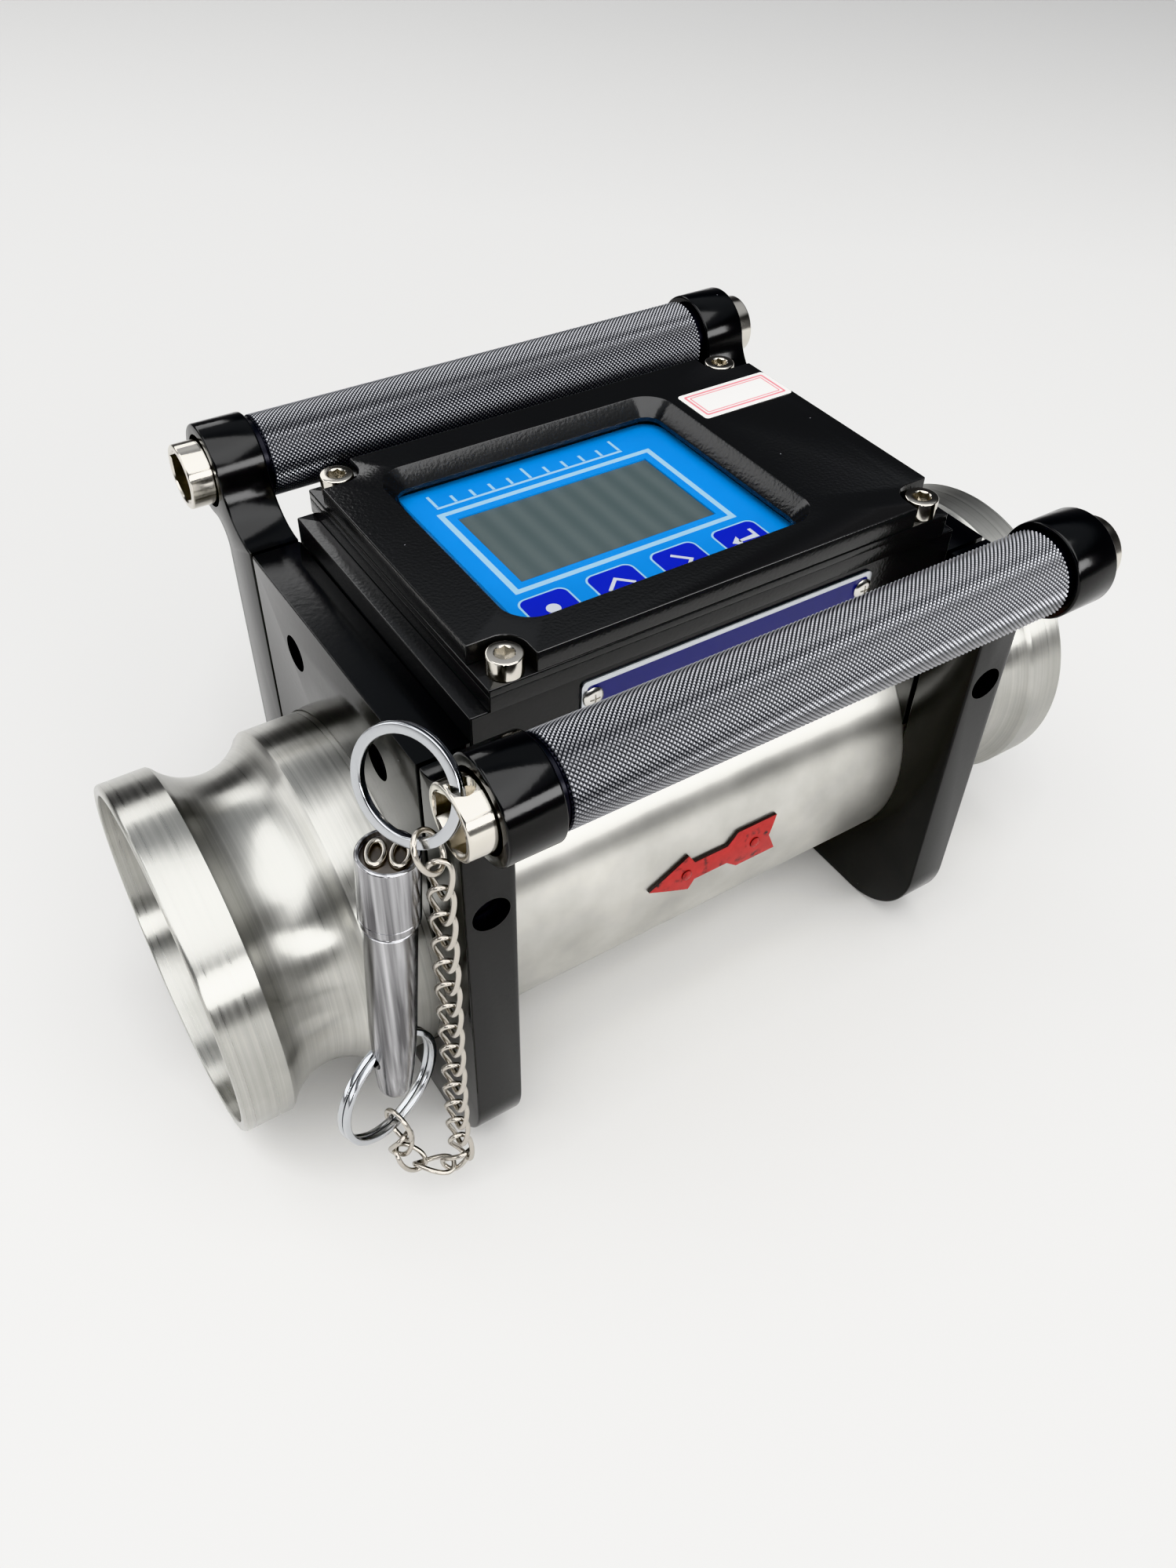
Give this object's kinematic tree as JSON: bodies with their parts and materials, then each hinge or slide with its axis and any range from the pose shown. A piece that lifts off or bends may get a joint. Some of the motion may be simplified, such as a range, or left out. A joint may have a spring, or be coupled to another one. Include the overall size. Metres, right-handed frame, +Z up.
{
  "type": "portable flow meter",
  "caption": "Portable turbine flow meter: steel tube with cam-groove ends in two clamped black yokes, knurled handles, windowed meter housing, magnetic stylus on a chain.",
  "frame": {"origin": "on the floor under the middle of the flow tube, between the feet of the two end plates", "axes": "+X along the flow tube from the end with the stylus to the other end, +Y from the front handle to the rear handle, +Z up"},
  "size_m": [0.2624, 0.1606, 0.1535],
  "materials": {
    "turned_stainless": "turned, bright rims",
    "black_gloss_paint": "black gloss",
    "black_housing_paint": "black gloss with a fine orange peel",
    "black_knurled_steel": "diamond knurl, blackened",
    "nickel_bolt": "bright nickel",
    "bright_screw": "bright",
    "gasket_rubber": "matte",
    "window_glass": "clear",
    "panel_print": "printed, azure",
    "display_glass": "blank display",
    "circuit_board": "green",
    "battery_wrap": "sleeve",
    "black_plastic": "moulded",
    "brass_sensor": "turned",
    "nameplate_metal": "plain blue field, silver border",
    "arrow_red": "red",
    "bright_rivet": "bright",
    "sticker_film": "white with a pink frame",
    "straightener_aluminium": "machined",
    "bearing_steel": "ground",
    "rotor_steel": "satin",
    "polished_ring": "polished",
    "chain_steel": "plated",
    "stylus_steel": "polished along its length",
    "magnet_face": "plated"
  },
  "bodies": {
    "root": {"flow_tube": "turned_stainless", "end_plate_left": "black_gloss_paint", "end_plate_right": "black_gloss_paint", "clamp_block_left": "black_gloss_paint", "clamp_block_right": "black_gloss_paint", "plate_clamp_screws": "bright_screw", "plate_housing_screws": "bright_screw", "handle_front": "black_knurled_steel", "handle_rear": "black_knurled_steel", "handle_bolts": "nickel_bolt", "handle_bolt_drilled": "nickel_bolt", "meter_housing": "black_housing_paint", "lid_gasket": "gasket_rubber", "lid": "black_housing_paint", "lid_screws": "bright_screw", "window_glass": "window_glass", "keypad_panel": "panel_print", "lcd_module": "display_glass", "circuit_board": "circuit_board", "board_standoffs": "bright_screw", "battery_cell": "battery_wrap", "battery_holder": "black_plastic", "pickup_sensor": "brass_sensor", "nameplate": "nameplate_metal", "nameplate_screws": "bright_screw", "flow_arrow": "arrow_red", "arrow_rivets": "bright_rivet", "asset_sticker": "sticker_film", "flow_straightener_left": "straightener_aluminium", "flow_straightener_right": "straightener_aluminium", "retaining_rings": "bright_screw", "rotor_bearings": "bearing_steel"},
    "rotor": {"turbine_rotor": "rotor_steel", "rotor_shaft": "bearing_steel"},
    "key_ring": {"key_ring": "polished_ring"},
    "stylus": {"chain": "chain_steel", "stylus_pen": "stylus_steel", "stylus_magnet": "magnet_face", "split_ring": "polished_ring"}
  },
  "joints": [
    {"name": "rotor_spin", "type": "hinge", "parent": "root", "child": "rotor", "pos_m": [0, 0, 0.05375], "axis": [1, 0, 0], "continuous": true},
    {"name": "ring_swing", "type": "hinge", "parent": "root", "child": "key_ring", "pos_m": [-0.0843, -0.0688, 0.1447], "axis": [-0.7861, 0.6181, 0], "range_deg": [0, 3]},
    {"name": "stylus_swing", "type": "hinge", "parent": "key_ring", "child": "stylus", "pos_m": [-0.0894, -0.0652, 0.1315], "axis": [-0.9446, 0.3281, 0], "range_deg": [0, 30]}
  ]
}
